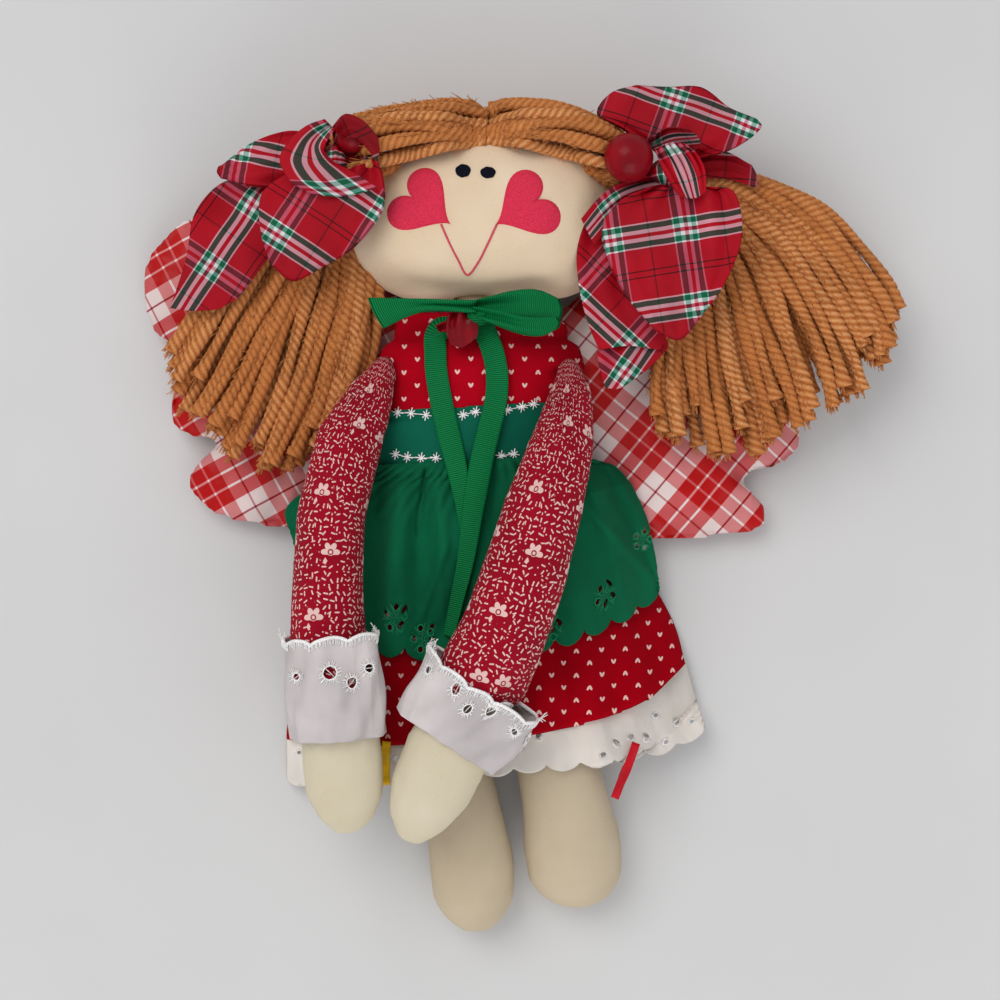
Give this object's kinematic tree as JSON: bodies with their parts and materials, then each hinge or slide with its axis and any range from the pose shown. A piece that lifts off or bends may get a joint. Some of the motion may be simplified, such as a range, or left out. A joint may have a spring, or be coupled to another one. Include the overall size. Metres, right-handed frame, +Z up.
{
  "type": "rag doll",
  "caption": "Stuffed angel rag doll lying on its back, with padded wings, yarn pigtails tied with tartan bows, print sleeves, apron, skirts and hinged head, arms, legs and pigtails.",
  "frame": {"origin": "middle of the doll's box, on the surface that its back lies on", "axes": "+Y towards the head, +Z up out of the doll's front, +X to the right of someone looking down on it"},
  "size_m": [0.322, 0.3518, 0.0877],
  "materials": {
    "muslin": "plain woven cream muslin, stuffed firm",
    "felt": "matte raspberry felt",
    "yarn": "matte golden tan plied yarn",
    "tartan": "crisp red tartan taffeta with a soft sheen",
    "red_bead": "glossy red painted wood",
    "heart_print": "matte red cotton with small hearts",
    "green_cloth": "matte emerald cotton",
    "grosgrain": "ribbed green ribbon with a soft sheen",
    "calico": "matte deep red cotton with small flowers",
    "lace": "matte white eyelet lace",
    "check_satin": "red and white checked satin",
    "satin": "red satin",
    "yellow_ribbon": "matte yellow ribbon"
  },
  "bodies": {
    "torso_body": {"torso": "muslin", "neck": "muslin", "bodice": "heart_print", "waistband": "green_cloth", "wing_left": "check_satin", "wing_right": "check_satin", "dress_back": "heart_print", "flounce_back": "lace", "flounce_front": "lace", "dress_front": "heart_print", "apron": "green_cloth", "ribbon_end_yellow": "yellow_ribbon", "ribbon_end_red": "satin", "neck_ribbon": "grosgrain", "neck_knot": "grosgrain", "neck_loop_left": "grosgrain", "neck_loop_right": "grosgrain", "neck_tail_left": "grosgrain", "neck_tail_right": "grosgrain", "neck_charm": "satin"},
    "head_body": {"head": "muslin", "cheek_left": "felt", "cheek_right": "felt", "crown_left": "yarn", "crown_right": "yarn", "bead_left": "red_bead", "bow_left_knot": "tartan", "bow_left_upper_loop": "tartan", "bow_left_front_loop": "tartan", "bow_left_tail": "tartan", "bead_right": "red_bead", "bow_right_knot": "tartan", "bow_right_upper_loop": "tartan", "bow_right_front_loop": "tartan", "bow_right_lower_tail": "tartan", "bow_right_back_tail": "tartan"},
    "pigtail_left_body": {"pigtail_left": "yarn"},
    "pigtail_right_body": {"pigtail_right": "yarn"},
    "arm_left_body": {"sleeve_left": "calico", "cuff_left": "lace", "hand_left": "muslin"},
    "arm_right_body": {"sleeve_right": "calico", "cuff_right": "lace", "hand_right": "muslin"},
    "leg_left_body": {"leg_left": "muslin"},
    "leg_right_body": {"leg_right": "muslin"}
  },
  "joints": [
    {"name": "head_tilt", "type": "hinge", "parent": "torso_body", "child": "head_body", "pos_m": [-0.01752, 0.08814, 0.029], "axis": [0, 0, -1], "range_deg": [-4, 4]},
    {"name": "pigtail_left_swing", "type": "hinge", "parent": "head_body", "child": "pigtail_left_body", "pos_m": [-0.07452, 0.13814, 0.0311], "axis": [0, 0, -1], "range_deg": [0, 30]},
    {"name": "pigtail_right_swing", "type": "hinge", "parent": "head_body", "child": "pigtail_right_body", "pos_m": [0.06148, 0.14314, 0.0311], "axis": [0, 0, 1], "range_deg": [0, 25]},
    {"name": "arm_left_lift", "type": "hinge", "parent": "torso_body", "child": "arm_left_body", "pos_m": [-0.05752, 0.06114, 0.0435], "axis": [-0.9983, 0.059, 0], "range_deg": [0, 90]},
    {"name": "arm_right_lift", "type": "hinge", "parent": "torso_body", "child": "arm_right_body", "pos_m": [0.01848, 0.06014, 0.045], "axis": [-0.9511, 0.309, 0], "range_deg": [0, 90]},
    {"name": "leg_left_spread", "type": "hinge", "parent": "torso_body", "child": "leg_left_body", "pos_m": [-0.03902, -0.03186, 0.02], "axis": [0, 0, -1], "range_deg": [0, 12]},
    {"name": "leg_right_spread", "type": "hinge", "parent": "torso_body", "child": "leg_right_body", "pos_m": [0.00498, -0.03186, 0.02], "axis": [0, 0, 1], "range_deg": [0, 12]}
  ]
}
